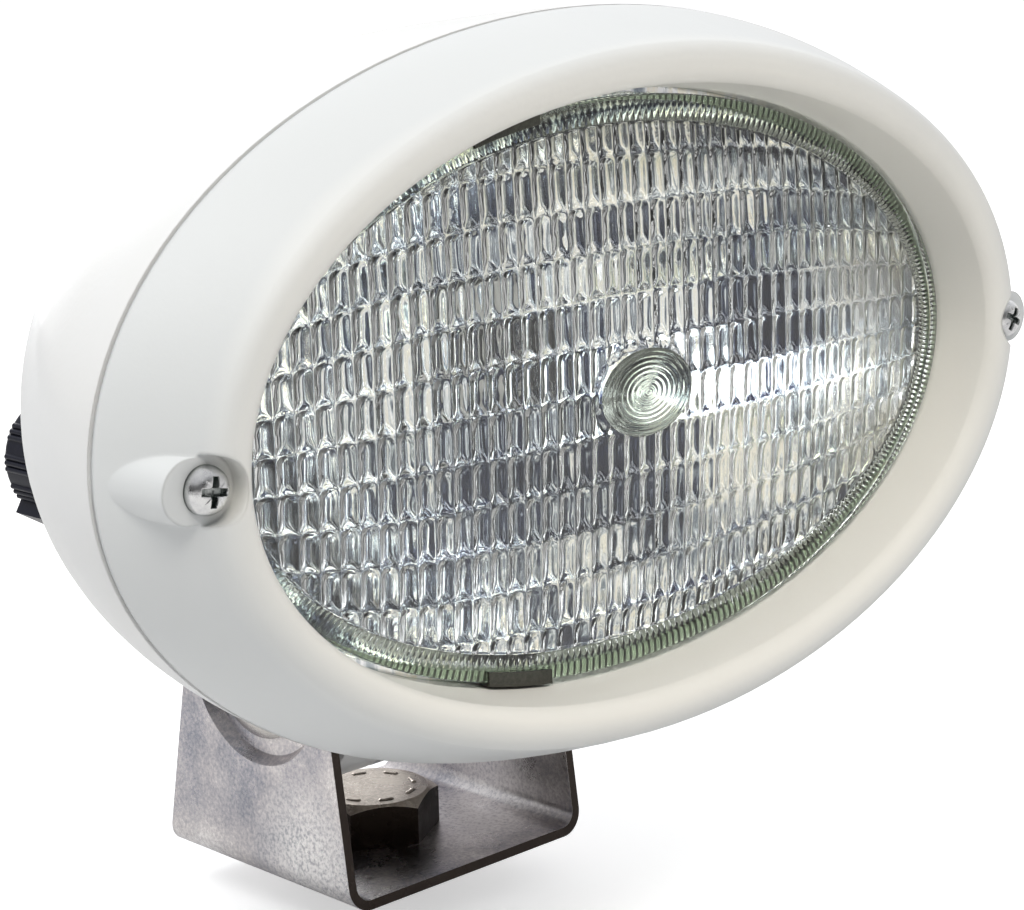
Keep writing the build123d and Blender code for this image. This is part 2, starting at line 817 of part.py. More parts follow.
os.makedirs("parts", exist_ok=True)
pieces = {
    "mounting_bracket": mounting_bracket,
    "mounting_bolt": mounting_bolt,
    "pivot_bolt": pivot_bolt,
    "pivot_washer": pivot_washer,
    "pivot_nut": pivot_nut,
    "tilt_washers": tilt_washers,
    "pivot_sleeve": pivot_sleeve,
    "rear_housing": rear_housing,
    "pivot_foot": pivot_foot,
    "gland_socket": gland_socket,
    "front_bezel": front_bezel,
    "bezel_screws": bezel_screws,
    "insert_nuts": insert_nuts,
    "lens": lens,
    "lens_seal": lens_seal,
    "lens_clips": lens_clips,
    "reflector": reflector,
    "bezel_gasket": bezel_gasket,
    "reflector_gasket": reflector_gasket,
    "bulb_capsule": bulb_capsule,
    "bulb_base": bulb_base,
    "bulb_clip": bulb_clip,
    "terminal_block": terminal_block,
    "terminal_screws": terminal_screws,
    "gland_ring": gland_ring,
    "gland_body": gland_body,
    "cable_seal": cable_seal,
    "clamp_ring": clamp_ring,
    "gland_nut": gland_nut,
}
for label, piece in pieces.items():
    piece.part.label = label
    export_step(piece.part, f"parts/{label}.step")
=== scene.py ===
import math

import bmesh
import bpy
import numpy as np
from mathutils import Matrix, Vector


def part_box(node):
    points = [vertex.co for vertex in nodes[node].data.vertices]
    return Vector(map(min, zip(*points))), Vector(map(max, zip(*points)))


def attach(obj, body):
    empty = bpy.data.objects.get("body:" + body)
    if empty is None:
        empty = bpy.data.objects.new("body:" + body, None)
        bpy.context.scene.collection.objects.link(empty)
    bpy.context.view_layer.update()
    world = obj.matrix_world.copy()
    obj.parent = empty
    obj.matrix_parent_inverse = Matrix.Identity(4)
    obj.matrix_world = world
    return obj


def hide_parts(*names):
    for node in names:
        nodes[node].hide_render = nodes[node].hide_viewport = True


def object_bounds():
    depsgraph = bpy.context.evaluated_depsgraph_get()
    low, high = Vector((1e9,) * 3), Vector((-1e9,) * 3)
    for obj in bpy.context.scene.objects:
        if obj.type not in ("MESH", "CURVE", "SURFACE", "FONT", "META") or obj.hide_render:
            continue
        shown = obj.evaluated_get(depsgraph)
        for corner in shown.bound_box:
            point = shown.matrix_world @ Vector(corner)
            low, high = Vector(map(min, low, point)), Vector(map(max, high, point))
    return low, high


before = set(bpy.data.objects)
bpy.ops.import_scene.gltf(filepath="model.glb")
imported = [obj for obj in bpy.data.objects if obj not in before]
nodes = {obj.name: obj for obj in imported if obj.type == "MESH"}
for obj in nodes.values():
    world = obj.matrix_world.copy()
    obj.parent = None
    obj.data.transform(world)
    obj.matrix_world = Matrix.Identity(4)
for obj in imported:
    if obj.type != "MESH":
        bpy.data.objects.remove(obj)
cad_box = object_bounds()

# Looks of the deck floodlight, in metres in the frame's own axes: +Z up, the lamp looks
# toward -Y. A size in millimetres is written as a number times MM.
MM = 0.001


# Sizes read from the frame

def centre_and_half(node):
    """Middle and half size of a CAD node's box, in metres."""
    low, high = (Vector(corner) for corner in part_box(node))
    return (low + high) / 2, (high - low) / 2


lens_middle, lens_half = centre_and_half("lens")
lens_low, lens_high = (Vector(corner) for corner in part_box("lens"))
bezel_middle, bezel_half = centre_and_half("front_bezel")
bracket_low = Vector(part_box("mounting_bracket")[0])


# Lens sizes; the field is the oval of cells inside the flat rim

RIM_WIDTH = 4.0 * MM
RIM_THICKNESS = 3.5 * MM
RIM_EDGE_ROUND = 0.4 * MM
FIELD_HALF_WIDTH = lens_half.x - RIM_WIDTH
FIELD_HALF_HEIGHT = lens_half.z - RIM_WIDTH
FRONT_RELIEF = 0.2 * MM
DOME_POWER = 0.75
TOOTH_HEIGHT = 0.14 * MM

# Cells pressed in the back of the lens
CELL_PITCH = 3.22 * MM
CELL_HEIGHT = 6.4 * MM
CELL_ROOT = 1.3 * MM
CELL_BULGE = 0.6 * MM
CELL_ARCH = 0.3
CELL_PLATEAU_POWER = 5
CELL_ROW_BOW = 0.28
CELL_ROW_BOW_POWER = 2.5
CELL_LEAN = 0.2
LEAN_TURN_PER_COLUMN = 1.7
LEAN_TURN_PER_ROW = 2.3

# A cell is made where the squared oval distance of its middle is under this
CELL_FIELD_LIMIT = 1.14

# Patch of oval rings on the front, and the gap in the cells behind it
PATCH_HALF_WIDTH = 9.2 * MM
PATCH_HALF_HEIGHT = 6.2 * MM
PATCH_RINGS = 9
PATCH_RIGHT = 0.6 * MM
PATCH_DOWN = 0.8 * MM
PATCH_LIFT = 0.01 * MM
PATCH_DEPTH = 0.3 * MM
RING_RISE = 0.14 * MM
GAP_RIGHT = 2.4 * MM

# The gap ends at this squared oval distance, where 1 is an oval of the patch's size
GAP_LIMIT = 1.05

# Mesh steps
LENS_COLUMNS = 520
LENS_BACK_ROWS = 152
LENS_FRONT_ROWS = 18
COLUMNS_PER_TOOTH = 3
PATCH_COLUMNS = 145
STEPS_PER_RING = 10


# Material helpers

# Places of the two inputs and the output of a mix node, by what it mixes
MIX_PLACES = {"FLOAT": (2, 3, 0), "RGBA": (6, 7, 2)}

# Where most of a noise's values lie
NOISE_SPAN = (0.3, 0.7)


def new_material(name):
    """Empty node material; returns the material, its node tree and its principled shader."""
    material = bpy.data.materials.new(name)
    material.use_nodes = True
    tree = material.node_tree
    return material, tree, tree.nodes["Principled BSDF"]


def feed(tree, socket, value):
    """Gives an input socket its value: another node's output, or a plain number or tuple."""
    if isinstance(value, bpy.types.NodeSocket):
        tree.links.new(value, socket)
    else:
        socket.default_value = value


def add_node(tree, kind, inputs=None, **settings):
    """Adds a node: settings are its properties, inputs gives each named socket its value."""
    node = tree.nodes.new(kind)
    for key, value in settings.items():
        setattr(node, key, value)
    for socket, value in (inputs or {}).items():
        feed(tree, node.inputs[socket], value)
    return node


def object_point(tree, scale=(1, 1, 1)):
    """Object coordinates, scaled."""
    coordinate = add_node(tree, "ShaderNodeTexCoord").outputs["Object"]
    mapping = add_node(tree, "ShaderNodeMapping", {"Vector": coordinate, "Scale": scale})
    return mapping.outputs["Vector"]


def noise(tree, point, waves, detail=4.0, roughness=0.55):
    """Noise value between 0 and 1 at a number of waves per metre."""
    inputs = {"Vector": point, "Scale": waves, "Detail": detail, "Roughness": roughness}
    return add_node(tree, "ShaderNodeTexNoise", inputs).outputs["Fac"]


def ramp(tree, value, stops):
    """Colour ramp over a value; stops are (place, colour)."""
    node = add_node(tree, "ShaderNodeValToRGB", {"Fac": value})
    elements = node.color_ramp.elements
    while len(elements) < len(stops):
        elements.new(0.5)
    for element, (place, colour) in zip(elements, stops):
        element.position = place
        element.color = (*colour, 1)
    return node.outputs["Color"]


def spread(tree, value, low, high, start=0.0, end=1.0):
    """Maps a value from start..end to low..high."""
    inputs = {"Value": value, "From Min": start, "From Max": end, "To Min": low, "To Max": high}
    return add_node(tree, "ShaderNodeMapRange", inputs).outputs["Result"]


def arithmetic(tree, operation, *values):
    """Math node on outputs or numbers."""
    node = add_node(tree, "ShaderNodeMath", dict(enumerate(values)), operation=operation)
    return node.outputs["Value"]


def weighed(tree, first, second, share):
    """Sum of a share of the first value and the rest of the second."""
    rest = arithmetic(tree, "MULTIPLY", second, 1 - share)
    return arithmetic(tree, "MULTIPLY_ADD", first, share, rest)


def vector_number(tree, operation, vector, other):
    """Vector math that gives a number, such as a distance or a dot product."""
    node = add_node(tree, "ShaderNodeVectorMath", {0: vector, 1: other}, operation=operation)
    return node.outputs["Value"]


def split_vector(tree, vector):
    """X, Y and Z of a vector."""
    return add_node(tree, "ShaderNodeSeparateXYZ", {"Vector": vector}).outputs


def blend(tree, share, first, second, kind="RGBA"):
    """First value turned into the second by a share."""
    first_place, second_place, result_place = MIX_PLACES[kind]
    inputs = {0: share, first_place: first, second_place: second}
    return add_node(tree, "ShaderNodeMix", inputs, data_type=kind).outputs[result_place]


def bumps(tree, shader, height, distance, strength=1.0, edge=0.0):
    """Bumps the shader's normal by a height value; edge is the radius that corners are rounded to."""
    inputs = {"Height": height, "Distance": distance, "Strength": strength}
    node = add_node(tree, "ShaderNodeBump", inputs)
    if edge:
        rounded = add_node(tree, "ShaderNodeBevel", {"Radius": edge}, samples=6)
        feed(tree, node.inputs["Normal"], rounded.outputs["Normal"])
    feed(tree, shader.inputs["Normal"], node.outputs["Normal"])


def painted_corner_shade(tree, colour, corner_shade, reach, low, high):
    """Painted shade: colour darkened where the surface is hidden within a reach, as shade falls in
    corners; low..high is the span.
    """
    hidden = add_node(tree, "ShaderNodeAmbientOcclusion", {"Distance": reach}, samples=8)
    share = spread(tree, hidden.outputs["AO"], 1.0, 0.0, low, high)
    return blend(tree, share, colour, (*corner_shade, 1))


def oval_share(tree, point, half_width, half_height):
    """Squared oval distance of a point from the lens axis; 1 on the oval of these half sizes."""
    place = split_vector(tree, point)
    across = arithmetic(tree, "DIVIDE", place["X"], half_width)
    raised = arithmetic(tree, "SUBTRACT", place["Z"], lens_middle.z)
    upward = arithmetic(tree, "DIVIDE", raised, half_height)
    across_squared = arithmetic(tree, "MULTIPLY", across, across)
    upward_squared = arithmetic(tree, "MULTIPLY", upward, upward)
    return arithmetic(tree, "ADD", across_squared, upward_squared)


# Plastics

DRIFT_WAVES = 18
GLOSS_WAVES = 60
GRAIN_WAVES = 900
GRAIN_HEIGHT = 0.04 * MM
BEZEL_DRIFT = 0.08
# Oval distances where the painted lit cream ends and the painted shaded grey is full
LIT_CREAM_END = 0.74
SHADED_GREY_START = 0.90


def moulded_plastic(name, colour, warm, rough, edge=0.0, coat=0.25):
    """Moulded plastic: slow drift between two close colours, fine moulding grain, gloss patches."""
    material, tree, shader = new_material(name)
    point = object_point(tree)
    drift = ramp(tree, noise(tree, point, DRIFT_WAVES, detail=3), [(0.35, colour), (0.7, warm)])
    patches = noise(tree, point, GLOSS_WAVES)
    roughness = spread(tree, patches, rough - 0.05, rough + 0.08, *NOISE_SPAN)
    feed(tree, shader.inputs["Base Color"], drift)
    feed(tree, shader.inputs["Roughness"], roughness)
    grain = noise(tree, point, GRAIN_WAVES, detail=3)
    bumps(tree, shader, grain, GRAIN_HEIGHT, 0.6, edge)
    shader.inputs["Coat Weight"].default_value = coat
    shader.inputs["Specular IOR Level"].default_value = 2 * coat
    shader.inputs["Coat Roughness"].default_value = 0.12
    return material


def bezel_painted_light(name, lit_cream, shaded_grey):
    """Moulded plastic with painted light: a lit cream round the lens that drifts to a darker grey of
    painted shade on the outer band.

    The place between the two is the oval distance from the lens axis, with a little noise.
    """
    material = moulded_plastic(name, lit_cream, lit_cream, 0.36, edge=0.7 * MM)
    tree = material.node_tree
    point = object_point(tree)
    out = oval_share(tree, point, bezel_half.x, bezel_half.z)
    drift = arithmetic(tree, "MULTIPLY", noise(tree, point, DRIFT_WAVES, detail=3), BEZEL_DRIFT)
    place = arithmetic(tree, "ADD", out, drift)
    tint = ramp(tree, place, [(LIT_CREAM_END, lit_cream), (SHADED_GREY_START, shaded_grey)])
    feed(tree, tree.nodes["Principled BSDF"].inputs["Base Color"], tint)
    return material


# Metals

FLECK_WAVES = 1500
FLECK_SHARE = 0.36
FLECK_HEIGHT = 0.05 * MM
DARKEST_CLOUD = 0.38
CLOUD_SPAN = 0.24
SMEAR_WAVES_PER_CLOUD = 2.3
# Colour of the painted highlights, and the share of their reach over which they are full
HIGHLIGHT_COLOUR = (1.0, 0.97, 0.96, 1)
HIGHLIGHT_FULL_TO = 0.3


def painted_highlight(tree, colour, point, flecks, middle, reach):
    """Painted highlight: colour brightened about a place, fading out to its reach and broken up by
    flecks.
    """
    away = vector_number(tree, "DISTANCE", point, middle)
    near = spread(tree, away, 1.0, 0.0, HIGHLIGHT_FULL_TO * reach, reach)
    broken = spread(tree, flecks, low=0.3, high=1.0, start=0.4, end=0.55)
    return blend(tree, arithmetic(tree, "MULTIPLY", near, broken), colour, HIGHLIGHT_COLOUR)


def painted_side_shade(tree, colour, axis, full, end, shade_colour):
    """Painted shade: colour changed to a shade colour on faces turned from an axis.

    Full and end are how far the face follows the axis, from -1 to 1, where the painted shade is
    full and where it ends.
    """
    normal = add_node(tree, "ShaderNodeTexCoord").outputs["Normal"]
    turn = vector_number(tree, "DOT_PRODUCT", normal, axis)
    return blend(tree, spread(tree, turn, 1.0, 0.0, full, end), colour, (*shade_colour, 1))


def worn_steel(name, shades, rough, cloud=26, edge=0.2 * MM, corner_shade=None, side_shade=None, painted_highlights=()):
    """Bare metal: cloudy patches through some shades, and fine flecks all over.

    Cloud is the waves per metre of the patches. Three more arguments paint light and shade into
    the colour, as the helpers above say: painted shade in hidden corners, painted shade on faces
    turned from an axis, and painted highlights at bright places, each by its middle and its reach.
    """
    material, tree, shader = new_material(name)
    point = object_point(tree)
    flecks = noise(tree, point, FLECK_WAVES, roughness=0.75)
    patches = noise(tree, point, cloud, detail=8, roughness=0.6)
    clouds = weighed(tree, flecks, patches, FLECK_SHARE)
    step = CLOUD_SPAN / (len(shades) - 1)
    colour = ramp(tree, clouds, [(DARKEST_CLOUD + step * k, shade) for k, shade in enumerate(shades)])
    # Painted highlights, then painted shade on turned faces and in hidden corners
    for middle, reach in painted_highlights:
        colour = painted_highlight(tree, colour, point, flecks, middle, reach)
    if side_shade:
        colour = painted_side_shade(tree, colour, *side_shade)
    if corner_shade:
        colour = painted_corner_shade(tree, colour, *corner_shade)
    smears = noise(tree, point, cloud * SMEAR_WAVES_PER_CLOUD, detail=5)
    roughness = spread(tree, smears, rough - 0.1, rough + 0.14, *NOISE_SPAN)
    feed(tree, shader.inputs["Base Color"], colour)
    feed(tree, shader.inputs["Roughness"], roughness)
    shader.inputs["Metallic"].default_value = 1.0
    bumps(tree, shader, flecks, FLECK_HEIGHT, 0.8, edge)
    return material


NARROW_STREAK_SHARE = 0.4

# Places across the reflector with painted reflections, paler or darker: right of the lens axis, up,
# reach, lift
MIRROR_PAINTED_PLACES = [
    (34 * MM, 26 * MM, 40 * MM, 0.09),
    (10 * MM, 36 * MM, 30 * MM, 0.06),
    (4 * MM, 0, 20 * MM, -0.13),
    (46 * MM, 0, 14 * MM, -0.11),
    (0, -34 * MM, 30 * MM, 0.03),
    (62 * MM, -14 * MM, 30 * MM, 0.05),
]

# Painted reflections on the reflector, from its darkest streaks to its palest, with a gold glint
MIRROR_PAINTED_REFLECTIONS = [
    (0.41, (0.0, 0.0, 0.01)),
    (0.45, (0.03, 0.04, 0.09)),
    (0.47, (0.25, 0.28, 0.32)),
    (0.50, (0.52, 0.56, 0.58)),
    (0.53, (1.0, 1.0, 1.0)),
    (0.59, (1.0, 0.94, 0.80)),
    (0.61, (1.0, 1.0, 1.0)),
]


def painted_reflection_mirror(name):
    """Bright reflector with painted reflections: dark, blue and pale streaks running up and down."""
    material, tree, shader = new_material(name)
    shader.inputs["Metallic"].default_value = 1.0
    broad = noise(tree, object_point(tree, (1.5, 1, 0.8)), 30, detail=2, roughness=0.5)
    narrow = noise(tree, object_point(tree, (1.8, 1, 0.35)), 190, detail=3, roughness=0.6)
    streaks = weighed(tree, narrow, broad, NARROW_STREAK_SHARE)
    facing = object_point(tree, (1, 0, 1))
    for right, up, reach, lift in MIRROR_PAINTED_PLACES:
        away = vector_number(tree, "DISTANCE", facing, (right, 0, lens_middle.z + up))
        tone = spread(tree, away, lift, 0.0, 0.0, reach)
        streaks = arithmetic(tree, "ADD", streaks, tone)
    feed(tree, shader.inputs["Base Color"], ramp(tree, streaks, MIRROR_PAINTED_REFLECTIONS))
    feed(tree, shader.inputs["Roughness"], spread(tree, narrow, 0.03, 0.12, *NOISE_SPAN))
    bumps(tree, shader, narrow, 0.3 * MM, 0.4)
    return material


# Glass

GLASS_IOR = 1.5
RIM_TINT_START = 1.02
RIM_TINT_FULL = 1.04


def clear_glass(name, colour, rough=0.02):
    """Clear glass with a faint tint."""
    material, tree, shader = new_material(name)
    shader.inputs["Base Color"].default_value = (*colour, 1)
    shader.inputs["Transmission Weight"].default_value = 1.0
    shader.inputs["IOR"].default_value = GLASS_IOR
    shader.inputs["Roughness"].default_value = rough
    bumps(tree, shader, noise(tree, object_point(tree), 90, detail=3), 0.04 * MM, 0.4)
    return material


def pressed_glass(name, colour, rim_colour):
    """Pressed lens glass: a faint flow in the surface, and a deeper colour in the rim."""
    material, tree, shader = new_material(name)
    shader.inputs["Transmission Weight"].default_value = 1.0
    shader.inputs["IOR"].default_value = GLASS_IOR
    shader.inputs["Roughness"].default_value = 0.01
    point = object_point(tree)
    out = oval_share(tree, point, FIELD_HALF_WIDTH, FIELD_HALF_HEIGHT)
    rim = spread(tree, out, 0.0, 1.0, RIM_TINT_START, RIM_TINT_FULL)
    feed(tree, shader.inputs["Base Color"], ramp(tree, rim, [(0.0, colour), (1.0, rim_colour)]))
    bumps(tree, shader, noise(tree, point, 160, detail=3), 0.16 * MM, 0.6)
    return material


# Finish of each CAD node

white_housing = moulded_plastic(
    "white_housing", (0.80, 0.81, 0.82), (0.78, 0.78, 0.77), 0.34, edge=0.6 * MM
)
# Painted light on the white bezel: lit cream round the lens, shaded grey on the outer band
white_bezel = bezel_painted_light("white_bezel", (0.95, 0.93, 0.87), (0.69, 0.71, 0.72))
gland_black = moulded_plastic(
    "gland_black", (0.006, 0.007, 0.016), (0.01, 0.01, 0.018), 0.3, edge=0.2 * MM, coat=0.08
)
bracket_steel = worn_steel(
    "bracket_steel",
    [(0.30, 0.31, 0.36), (0.50, 0.48, 0.51), (0.70, 0.66, 0.66), (0.98, 0.94, 0.92)],
    0.28,
    cloud=42,
    # Painted shade in the bracket's hidden corners
    corner_shade=((0.035, 0.025, 0.022), 6 * MM, 0.2, 0.6),
    # Painted shade on the front edges, which face the dark side of the room
    side_shade=((0, 1, 0), -0.85, -0.6, (0.045, 0.036, 0.032)),
    # Painted highlights on the left flange's lower corner and on the base right of the bolt
    painted_highlights=[
        ((bracket_low.x, bracket_low.y + 9 * MM, bracket_low.z + 5 * MM), 15 * MM),
        ((14 * MM, -4 * MM, bracket_low.z + 1.5 * MM), 16 * MM),
    ],
)
bolt_steel = worn_steel(
    "bolt_steel",
    [(0.30, 0.26, 0.22), (0.50, 0.44, 0.38), (0.66, 0.60, 0.53)],
    0.26,
    cloud=60,
    # Painted shade where the bolt is hidden by the bracket
    corner_shade=((0.03, 0.02, 0.015), 4 * MM, 0.3, 0.7),
    # Painted shade on the sides of the head, which face away from the light
    side_shade=((0, 0, 1), 0.5, 0.75, (0.02, 0.015, 0.012)),
)
pivot_steel = worn_steel("pivot_steel", [(0.60, 0.56, 0.52), (0.80, 0.76, 0.71)], 0.16, cloud=40)
washer_steel = worn_steel("washer_steel", [(0.38, 0.37, 0.36), (0.64, 0.62, 0.60)], 0.3)
zinc_steel = worn_steel(
    "zinc_steel",
    [(0.60, 0.60, 0.62), (0.88, 0.88, 0.87)],
    0.25,
    cloud=90,
    edge=0.08 * MM,
    # Painted shade in the cross recess and under the head
    corner_shade=((0.13, 0.155, 0.145), 2 * MM, 0.3, 0.85),
)
spring_steel = worn_steel("spring_steel", [(0.05, 0.05, 0.045), (0.12, 0.12, 0.10)], 0.35)
brass = worn_steel("brass", [(0.55, 0.40, 0.16), (0.78, 0.58, 0.25)], 0.3)
# Reflector whose colour holds painted reflections
reflector_painted_glints = painted_reflection_mirror("reflector_painted_glints")
seal_rubber = moulded_plastic("seal_rubber", (0.02, 0.02, 0.02), (0.03, 0.03, 0.03), 0.6)
pale_silicone = moulded_plastic("pale_silicone", (0.44, 0.49, 0.39), (0.34, 0.38, 0.30), 0.5)
friction_nylon = moulded_plastic("friction_nylon", (0.03, 0.03, 0.035), (0.05, 0.05, 0.05), 0.5)
ceramic = moulded_plastic("ceramic", (0.72, 0.70, 0.65), (0.66, 0.63, 0.57), 0.5)
cream_block = moulded_plastic("cream_block", (0.70, 0.67, 0.60), (0.66, 0.62, 0.54), 0.45)
lens_glass = pressed_glass("lens_glass", (0.97, 0.985, 0.98), (0.88, 0.95, 0.84))
patch_glass = clear_glass("patch_glass", (0.62, 0.66, 0.60), 0.06)
bulb_glass = clear_glass("bulb_glass", (0.96, 0.97, 0.97))

NODE_FINISHES = {
    "mounting_bracket": bracket_steel,
    "mounting_bolt": bolt_steel,
    "pivot_bolt": pivot_steel,
    "pivot_washer": washer_steel,
    "pivot_nut": washer_steel,
    "tilt_washers": friction_nylon,
    "pivot_sleeve": washer_steel,
    "rear_housing": white_housing,
    "pivot_foot": white_housing,
    "gland_socket": white_housing,
    "front_bezel": white_bezel,
    "bezel_screws": zinc_steel,
    "insert_nuts": brass,
    "lens": lens_glass,
    "lens_seal": pale_silicone,
    "lens_clips": spring_steel,
    "reflector": reflector_painted_glints,
    "bezel_gasket": pale_silicone,
    "reflector_gasket": seal_rubber,
    "bulb_capsule": bulb_glass,
    "bulb_base": ceramic,
    "bulb_clip": spring_steel,
    "terminal_block": cream_block,
    "terminal_screws": zinc_steel,
    "gland_ring": seal_rubber,
    "gland_body": gland_black,
    "cable_seal": seal_rubber,
    "clamp_ring": gland_black,
    "gland_nut": gland_black,
}
for node_name, finish in NODE_FINISHES.items():
    for material_slot in nodes[node_name].material_slots:
        material_slot.material = finish


# New pieces: helpers

MERGE_DISTANCE = 0.002 * MM
FLAT_DISTANCE = 0.001 * MM


def soft_step(value):
    """Smooth step from 0 to 1 over the value's range 0 to 1."""
    value = np.clip(value, 0, 1)
    return value * value * (3 - 2 * value)


def object_from_grid(name, points, material, body, closed_around=True):
    """Smooth mesh from a grid of points shaped (rows, columns, 3); rows may close into a loop.

    Points that fall together, as at a pole, are merged, and faces are turned outward.
    """
    rows, columns = points.shape[:2]
    row = np.arange(rows if closed_around else rows - 1)
    column = np.arange(columns - 1)
    first = (row[:, None] * columns + column[None, :]).ravel()
    above = (((row + 1) % rows)[:, None] * columns + column[None, :]).ravel()
    quads = np.stack([first, first + 1, above + 1, above], axis=1)
    mesh = bpy.data.meshes.new(name)
    mesh.from_pydata(points.reshape(-1, 3).tolist(), [], quads.tolist())
    tidy = bmesh.new()
    tidy.from_mesh(mesh)
    bmesh.ops.remove_doubles(tidy, verts=tidy.verts, dist=MERGE_DISTANCE)
    bmesh.ops.dissolve_degenerate(tidy, edges=tidy.edges, dist=FLAT_DISTANCE)
    bmesh.ops.recalc_face_normals(tidy, faces=tidy.faces)
    tidy.to_mesh(mesh)
    tidy.free()
    mesh.polygons.foreach_set("use_smooth", np.ones(len(mesh.polygons), dtype=bool))
    mesh.materials.append(material)
    piece = bpy.data.objects.new(name, mesh)
    bpy.context.scene.collection.objects.link(piece)
    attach(piece, body)
    return piece


# Lens with its pillow cells

def cell_relief(x, z):
    """How far the back of the lens lies in front of its rim, at x and z from its middle.

    Each cell is a pillow, a parabola across its width times a rounded plateau along its height,
    whose top end comes sooner at the sides, as an arch. Rows bow toward the long axis near the
    ends, and the plateau leans a little, more in some cells than others. Cells whose middle lies
    outside the field, and all places in the gap behind the ringed patch, are left flat.
    """
    bow = 1 - CELL_ROW_BOW * np.abs(x / FIELD_HALF_WIDTH) ** CELL_ROW_BOW_POWER
    column = x / CELL_PITCH + 0.5
    row = z / (CELL_HEIGHT * bow)
    column_number = np.floor(column)
    row_number = np.floor(row)
    across = 2 * (column - column_number) - 1
    along = 2 * (row - row_number) - 1
    middle_x = column_number * CELL_PITCH
    middle_z = (row_number + 0.5) * CELL_HEIGHT * bow
    from_axis = (middle_x / FIELD_HALF_WIDTH) ** 2 + (middle_z / FIELD_HALF_HEIGHT) ** 2
    gap_x = (x - GAP_RIGHT) / PATCH_HALF_WIDTH
    gap_z = (z + PATCH_DOWN) / PATCH_HALF_HEIGHT
    pillowed = (from_axis < CELL_FIELD_LIMIT) & (gap_x ** 2 + gap_z ** 2 > GAP_LIMIT)
    arched = np.clip(along + CELL_ARCH * across ** 2, -1, 1)
    lean_turn = column_number * LEAN_TURN_PER_COLUMN + row_number * LEAN_TURN_PER_ROW
    lean = CELL_LEAN * np.sin(lean_turn) * along
    plateau = 1 - np.abs(arched) ** CELL_PLATEAU_POWER
    relief = CELL_BULGE * (1 - across ** 2) * plateau * (1 + lean)
    return np.where(pillowed, CELL_ROOT - relief, CELL_ROOT)


def front_relief(x, z):
    """How far the front of the lens lies in front of its rim: a low dome."""
    share = np.clip((x / FIELD_HALF_WIDTH) ** 2 + (z / FIELD_HALF_HEIGHT) ** 2, 0, 1)
    dome = (lens_high.y - RIM_THICKNESS) - (lens_low.y + FRONT_RELIEF)
    return dome * (1 - share) ** DOME_POWER


def field_row(x, top, share, back):
    """One row across the field, at a share from -1 to 1 of its height, on the back or front."""
    z = share * top
    if back:
        y = lens_high.y - cell_relief(x, z)
    else:
        y = lens_high.y - RIM_THICKNESS - front_relief(x, z)
    return np.stack([x, y, lens_middle.z + z], axis=1)


def rim_row(x, top, side, out, y):
    """One row along the upper or lower rim; out is 0 at the field's edge and 1 at the lens's."""
    wide = 1 + out * (lens_half.x / FIELD_HALF_WIDTH - 1)
    high = 1 + out * (lens_half.z / FIELD_HALF_HEIGHT - 1)
    return np.stack([x * wide, y, lens_middle.z + side * top * high], axis=1)


def make_lens():
    """Closed glass body in upright columns.

    Columns are spaced by a sine so that they close up at the ends of the oval. Each column is a
    loop: up the back over the cells, out over the rim, round the edge, down the front, and back.
    One in three columns of the rim's back is a tooth.
    """
    x = FIELD_HALF_WIDTH * np.sin(np.linspace(-np.pi / 2, np.pi / 2, LENS_COLUMNS))
    top = FIELD_HALF_HEIGHT * np.sqrt(np.maximum(0, 1 - (x / FIELD_HALF_WIDTH) ** 2))
    plain = np.zeros(LENS_COLUMNS)
    teeth = np.where(np.arange(LENS_COLUMNS) % COLUMNS_PER_TOOTH == 0, TOOTH_HEIGHT, 0)
    rim_back = lens_high.y
    rim_front = lens_high.y - RIM_THICKNESS
    # Share of the way out over the rim, depth, and how far its teeth stand back there
    rim_profile = [
        (0.04, rim_back - CELL_ROOT, plain),
        (0.08, rim_back, teeth),
        (0.86, rim_back, teeth),
        (0.94, rim_back, plain),
        (1.0, rim_back - RIM_EDGE_ROUND, plain),
        (1.0, rim_front + RIM_EDGE_ROUND, plain),
        (0.94, rim_front, plain),
        (0.5, rim_front, plain),
        (0.06, rim_front, plain),
    ]
    loops = [field_row(x, top, share, True) for share in np.linspace(-1, 1, LENS_BACK_ROWS)]
    loops += [rim_row(x, top, 1, out, y - relief) for out, y, relief in rim_profile]
    loops += [field_row(x, top, share, False) for share in np.linspace(1, -1, LENS_FRONT_ROWS)]
    loops += [rim_row(x, top, -1, out, y - relief) for out, y, relief in reversed(rim_profile)]
    lens = object_from_grid("lens_glass_body", np.array(loops), lens_glass, "lamp_head")
    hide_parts("lens")


# Patch of oval rings on the lens

def patch_row(angles, share, lift):
    """One oval at a share of the way out, lifted from the lens's front."""
    x = PATCH_RIGHT + share * PATCH_HALF_WIDTH * np.cos(angles)
    z = share * PATCH_HALF_HEIGHT * np.sin(angles) - PATCH_DOWN
    y = lens_high.y - RIM_THICKNESS - front_relief(x, z) - lift
    return np.stack([x, y, lens_middle.z + z], axis=1)


def make_ring_patch():
    """Oval patch of fine rings pressed in the front of the lens: a thin disc that follows the front.

    The ring height is a raised cosine of the share of the way out, and the disc's back lies
    inside the lens.
    """
    angles = np.linspace(0, 2 * np.pi, PATCH_COLUMNS)
    rows = []
    for share in np.linspace(0, 1, STEPS_PER_RING * PATCH_RINGS + 1):
        ring = RING_RISE * (0.5 - 0.5 * np.cos(2 * np.pi * PATCH_RINGS * share))
        rows.append(patch_row(angles, share, PATCH_LIFT + ring))
    for share in (1, 0):
        rows.append(patch_row(angles, share, -PATCH_DEPTH))
    patch = object_from_grid("lens_ring_patch", np.array(rows), patch_glass, "lamp_head", False)


# Bezel screws with their cross recess

